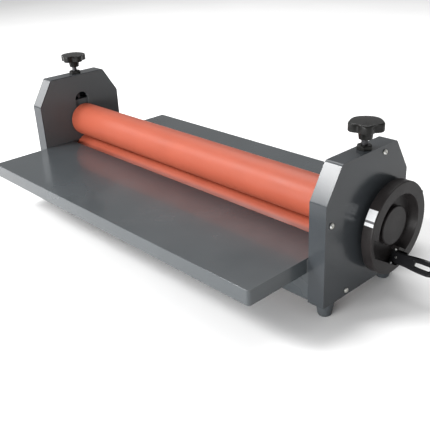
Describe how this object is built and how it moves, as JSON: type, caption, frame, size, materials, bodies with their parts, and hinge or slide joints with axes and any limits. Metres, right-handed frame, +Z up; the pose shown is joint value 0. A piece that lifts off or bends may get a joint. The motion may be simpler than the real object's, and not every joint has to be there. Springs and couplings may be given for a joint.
{
  "type": "cold roll laminator",
  "caption": "Tabletop hand-cranked cold roll laminator: silicone pressure rollers between sheet-metal housings, feed tables, star pressure knobs and a hand wheel.",
  "frame": {"origin": "below the middle of the machine's bounding box, on the surface it stands on", "axes": "+X along the rollers towards the hand wheel, +Y from the front feed table to the rear one, +Z up"},
  "size_m": [0.8152, 0.4072, 0.261],
  "materials": {
    "dark_paint": "glossy dark grey powder coat",
    "grey_paint": "glossy mid grey powder coat",
    "silicone": "satin orange-red silicone",
    "steel": "turned and ground steel",
    "black_steel": "black oxide steel",
    "zinc": "bright zinc-plated steel",
    "bronze": "sintered bronze",
    "spring_steel": "drawn spring wire",
    "knob_plastic": "semi-gloss black moulding",
    "wheel_plastic": "semi-gloss charcoal moulding",
    "foot_rubber": "matt dark grey rubber"
  },
  "bodies": {
    "base": {"side_plate_left": "dark_paint", "side_plate_right": "dark_paint", "side_cover_left": "dark_paint", "side_cover_right": "dark_paint", "cover_screw_left_1": "zinc", "cover_screw_left_2": "zinc", "cover_screw_left_3": "zinc", "cover_screw_left_4": "zinc", "cover_screw_right_1": "zinc", "cover_screw_right_2": "zinc", "cover_screw_right_3": "zinc", "cover_screw_right_4": "zinc", "foot_front_left": "foot_rubber", "foot_front_right": "foot_rubber", "foot_rear_left": "foot_rubber", "foot_rear_right": "foot_rubber", "lower_bearing_left": "bronze", "lower_bearing_right": "bronze", "lift_spring_left": "spring_steel", "lift_spring_right": "spring_steel", "screw_nut_left": "steel", "screw_nut_right": "steel", "screw_collar_left": "knob_plastic", "screw_collar_right": "knob_plastic", "tie_nut_front_left": "zinc", "tie_nut_front_right": "zinc", "tie_nut_rear_left": "zinc", "tie_nut_rear_right": "zinc", "tie_rod_front": "steel", "tie_rod_rear": "steel", "front_panel": "grey_paint", "rear_panel": "grey_paint", "front_table": "grey_paint", "rear_table": "grey_paint", "shaft_bush_inner": "bronze", "shaft_bush_outer": "bronze"},
    "carriage": {"bearing_block_left": "black_steel", "bearing_block_right": "black_steel", "upper_bush_left": "bronze", "upper_bush_right": "bronze"},
    "upper_roller": {"upper_roller_core": "steel", "upper_roller_sleeve": "silicone"},
    "lower_roller": {"lower_roller_core": "steel", "lower_roller_sleeve": "silicone", "drive_gear": "steel"},
    "left_knob": {"star_knob_left": "knob_plastic", "pressure_screw_left": "black_steel"},
    "right_knob": {"star_knob_right": "knob_plastic", "pressure_screw_right": "black_steel"},
    "hand_wheel": {"hand_wheel": "wheel_plastic", "hub_screw": "zinc", "wheel_shaft": "steel", "drive_pinion": "steel", "handle_pin": "zinc", "hub_cap": "wheel_plastic"},
    "crank_handle": {"crank_handle": "wheel_plastic"}
  },
  "joints": [
    {"name": "roller_lift", "type": "slide", "parent": "base", "child": "carriage", "axis": [0, 0, 1], "range_m": [0, 0.018], "deforming": ["lift_spring_left", "lift_spring_right"]},
    {"name": "upper_roller_spin", "type": "hinge", "parent": "carriage", "child": "upper_roller", "pos_m": [-0.03844, 0.00365, 0.1309], "axis": [1, 0, 0], "continuous": true},
    {"name": "left_knob_turn", "type": "hinge", "parent": "carriage", "child": "left_knob", "pos_m": [-0.38694, 0.00365, 0.18], "axis": [0, 0, 1], "range_deg": [0, 2161]},
    {"name": "right_knob_turn", "type": "hinge", "parent": "carriage", "child": "right_knob", "pos_m": [0.31006, 0.00365, 0.18], "axis": [0, 0, 1], "range_deg": [0, 2161]},
    {"name": "lower_roller_spin", "type": "hinge", "parent": "base", "child": "lower_roller", "pos_m": [-0.03844, 0.00365, 0.0672], "axis": [1, 0, 0], "continuous": true},
    {"name": "wheel_spin", "type": "hinge", "parent": "base", "child": "hand_wheel", "pos_m": [0.33456, 0.04301, 0.10417], "axis": [1, 0, 0], "continuous": true},
    {"name": "handle_fold", "type": "hinge", "parent": "hand_wheel", "child": "crank_handle", "pos_m": [0.33916, 0.04689, 0.05375], "axis": [0, 0.5299, 0.848], "range_deg": [-90, 0]}
  ],
  "couplings": [
    {"joint": "left_knob_turn", "follows": "roller_lift", "rad_per_m": 2094.4},
    {"joint": "right_knob_turn", "follows": "roller_lift", "rad_per_m": 2094.4},
    {"joint": "lower_roller_spin", "follows": "wheel_spin", "ratio": -0.5},
    {"joint": "upper_roller_spin", "follows": "wheel_spin", "ratio": 0.5}
  ]
}
